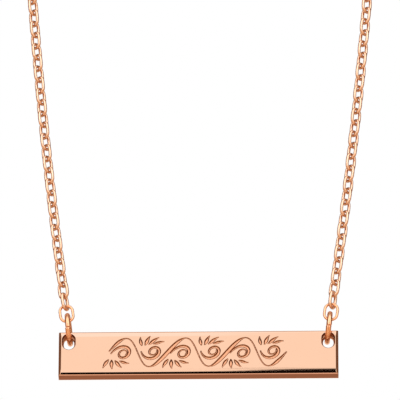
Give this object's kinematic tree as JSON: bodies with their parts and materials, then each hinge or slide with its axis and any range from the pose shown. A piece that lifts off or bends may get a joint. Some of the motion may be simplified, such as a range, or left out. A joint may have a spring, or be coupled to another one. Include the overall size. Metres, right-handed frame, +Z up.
{
  "type": "bar necklace",
  "caption": "Flat polished bar with an engraved scroll, hung by an oval hole at each end on thick split rings from a closed loop of fine cable chain with a ring clasp.",
  "frame": {"origin": "middle of the clasp, at the top of the loop's centre line, where the necklace hangs", "axes": "+Z up the loop from the bar to the clasp, +X along the bar to the viewer's right, and the bar's engraved face towards -Y"},
  "size_m": [0.0538, 0.0046, 0.1772],
  "materials": {
    "bar_metal": "polished rose gold plating",
    "ring_metal": "polished rose gold plating",
    "chain_metal": "polished rose gold plating",
    "clasp_metal": "polished rose gold plating"
  },
  "bodies": {
    "loop": {"jump_ring_left": "ring_metal", "jump_ring_right": "ring_metal", "end_ring_left": "ring_metal", "end_ring_right": "ring_metal", "chain_left": "chain_metal", "chain_right": "chain_metal", "clasp": "clasp_metal", "clasp_ring_left": "ring_metal", "clasp_ring_right": "ring_metal"},
    "bar": {"bar": "bar_metal"}
  },
  "joints": [
    {"name": "bar_swing", "type": "hinge", "parent": "loop", "child": "bar", "pos_m": [0, 0, -0.16737], "axis": [1, 0, 0], "range_deg": [-70, 70]}
  ]
}
